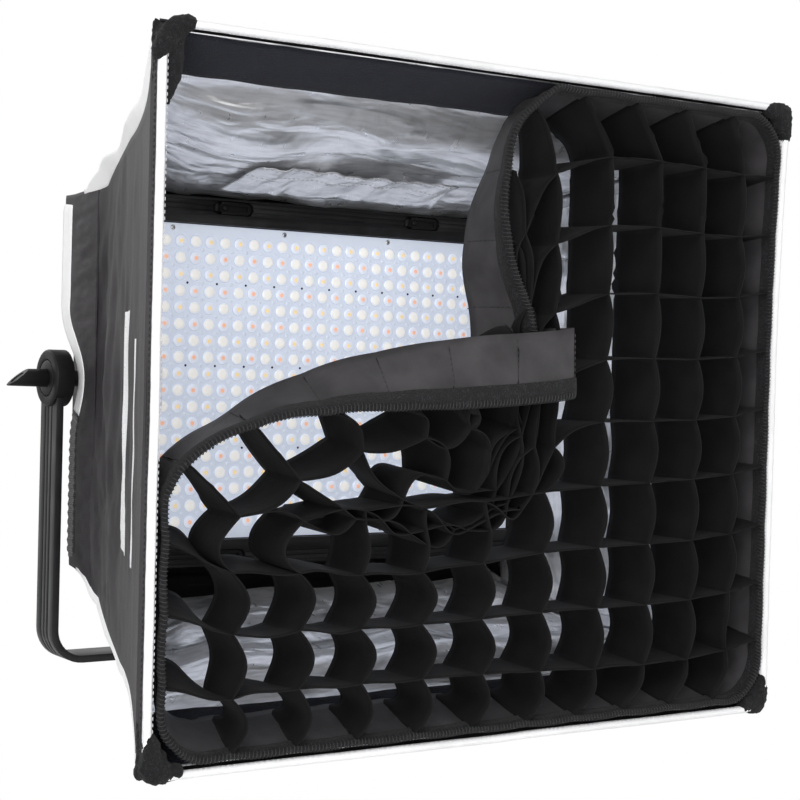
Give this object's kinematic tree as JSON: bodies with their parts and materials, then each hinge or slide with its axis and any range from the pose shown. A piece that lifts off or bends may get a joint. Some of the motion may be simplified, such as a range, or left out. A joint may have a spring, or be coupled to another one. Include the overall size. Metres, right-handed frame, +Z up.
{
  "type": "softbox",
  "caption": "Rectangular softbox with silver lining and a partly peeled fabric grid, fitted to a flat LED panel light in a tilting yoke.",
  "frame": {"origin": "middle of the end face of the stand receiver's socket, where a spigot seats", "axes": "+X to the right seen from the front, +Y from the softbox mouth to the lamp's back, +Z up"},
  "size_m": [0.516, 0.3641, 0.4844],
  "materials": {
    "black_metal": "satin black paint",
    "black_plastic": "matte moulded",
    "steel": "plain zinc plated",
    "heat_sink_metal": "bare extruded",
    "led_board_white": "white solder mask with light emitters",
    "clear_lens": "moulded clear lens sheet",
    "circuit_board": "green solder mask",
    "display": "gloss",
    "black_nylon": "charcoal nylon with a fine weave",
    "white_binding": "white woven tape",
    "silver_fabric": "metallised silver film on cloth",
    "velcro": "looped pile",
    "grid_fabric": "matte black cloth"
  },
  "bodies": {
    "yoke": {"yoke_bar": "black_metal", "hub_left": "black_plastic", "hub_right": "black_plastic", "stand_receiver": "black_metal", "receiver_bolt": "steel"},
    "receiver_knob": {"receiver_knob": "black_plastic"},
    "head": {"rail_top": "black_metal", "rail_bottom": "black_metal", "rail_left": "black_metal", "rail_right": "black_metal", "lens_plate": "clear_lens", "led_board": "led_board_white", "heat_sink": "heat_sink_metal", "driver_board": "circuit_board", "rear_housing": "black_plastic", "control_panel": "black_plastic", "display_window": "display", "power_socket": "black_plastic", "tilt_stud_left": "steel", "tilt_stud_right": "steel"},
    "tilt_lever_left": {"tilt_lever_left": "black_plastic"},
    "tilt_lever_right": {"tilt_lever_right": "black_plastic"},
    "latch_upper_left": {"latch_upper_left": "black_plastic"},
    "latch_upper_right": {"latch_upper_right": "black_plastic"},
    "latch_lower_left": {"latch_lower_left": "black_plastic"},
    "latch_lower_right": {"latch_lower_right": "black_plastic"},
    "encoder_shaft_left": {"encoder_shaft_left": "steel"},
    "encoder_knob_left": {"encoder_knob_left": "black_plastic"},
    "encoder_shaft_right": {"encoder_shaft_right": "steel"},
    "encoder_knob_right": {"encoder_knob_right": "black_plastic"},
    "menu_button_left": {"menu_button_left": "black_plastic"},
    "menu_button_right": {"menu_button_right": "black_plastic"},
    "power_rocker": {"power_rocker": "black_plastic"},
    "softbox": {"shell_top": "black_nylon", "shell_bottom": "black_nylon", "shell_left": "black_nylon", "shell_right": "black_nylon", "edge_binding_lower_left": "white_binding", "edge_binding_lower_right": "white_binding", "edge_binding_upper_right": "white_binding", "edge_binding_upper_left": "white_binding", "silver_liner": "silver_fabric", "rim_velcro": "velcro", "silver_flap": "silver_fabric", "collar": "black_nylon", "collar_binding": "white_binding", "edge_sleeve_top": "white_binding", "edge_sleeve_bottom": "white_binding", "edge_sleeve_left": "white_binding", "edge_sleeve_right": "white_binding", "frame_rod_top": "steel", "frame_rod_bottom": "steel", "frame_rod_left": "steel", "frame_rod_right": "steel", "corner_wrap_lower_left": "velcro", "corner_wrap_lower_right": "velcro", "corner_wrap_upper_right": "velcro", "corner_wrap_upper_left": "velcro"},
    "grid": {"grid_border": "grid_fabric", "grid_cells": "grid_fabric"}
  },
  "joints": [
    {"name": "tilt", "type": "hinge", "parent": "yoke", "child": "head", "pos_m": [0, 0, 0.222], "axis": [-1, 0, 0], "range_deg": [-20, 180]},
    {"name": "receiver_knob_turn", "type": "hinge", "parent": "yoke", "child": "receiver_knob", "pos_m": [0, 0.03, -0.02], "axis": [0, 1, 0], "range_deg": [0, 540]},
    {"name": "lever_left_turn", "type": "hinge", "parent": "head", "child": "tilt_lever_left", "pos_m": [-0.21, 0, 0.222], "axis": [1, 0, 0], "range_deg": [0, 170]},
    {"name": "lever_right_turn", "type": "hinge", "parent": "head", "child": "tilt_lever_right", "pos_m": [0.21, 0, 0.222], "axis": [1, 0, 0], "range_deg": [0, 170]},
    {"name": "latch_upper_left_flip", "type": "hinge", "parent": "head", "child": "latch_upper_left", "pos_m": [-0.1047, -0.0748, 0.3496], "axis": [0, 0, -1], "range_deg": [0, 90]},
    {"name": "latch_upper_right_flip", "type": "hinge", "parent": "head", "child": "latch_upper_right", "pos_m": [0.0623, -0.0748, 0.3496], "axis": [0, 0, -1], "range_deg": [0, 90]},
    {"name": "latch_lower_left_flip", "type": "hinge", "parent": "head", "child": "latch_lower_left", "pos_m": [-0.1047, -0.0748, 0.0944], "axis": [0, 0, -1], "range_deg": [0, 90]},
    {"name": "latch_lower_right_flip", "type": "hinge", "parent": "head", "child": "latch_lower_right", "pos_m": [0.0623, -0.0748, 0.0944], "axis": [0, 0, -1], "range_deg": [0, 90]},
    {"name": "encoder_left_push", "type": "slide", "parent": "head", "child": "encoder_shaft_left", "axis": [0, -1, 0], "range_m": [0, 0.0012]},
    {"name": "encoder_left_spin", "type": "hinge", "parent": "encoder_shaft_left", "child": "encoder_knob_left", "pos_m": [-0.048, 0.059, 0.208], "axis": [0, -1, 0], "continuous": true},
    {"name": "menu_button_left_press", "type": "slide", "parent": "head", "child": "menu_button_left", "axis": [0, -1, 0], "range_m": [0, 0.0012]},
    {"name": "encoder_right_push", "type": "slide", "parent": "head", "child": "encoder_shaft_right", "axis": [0, -1, 0], "range_m": [0, 0.0012]},
    {"name": "encoder_right_spin", "type": "hinge", "parent": "encoder_shaft_right", "child": "encoder_knob_right", "pos_m": [0.048, 0.059, 0.208], "axis": [0, -1, 0], "continuous": true},
    {"name": "menu_button_right_press", "type": "slide", "parent": "head", "child": "menu_button_right", "axis": [0, -1, 0], "range_m": [0, 0.0012]},
    {"name": "power_rocker_tilt", "type": "hinge", "parent": "head", "child": "power_rocker", "pos_m": [0, 0.0503, 0.182], "axis": [1, 0, 0], "range_deg": [-8, 8]},
    {"name": "softbox_remove", "type": "slide", "parent": "head", "child": "softbox", "axis": [0, -1, 0], "range_m": [0, 0.11]},
    {"name": "grid_remove", "type": "slide", "parent": "softbox", "child": "grid", "axis": [0, -1, 0], "range_m": [0, 0.06]}
  ]
}
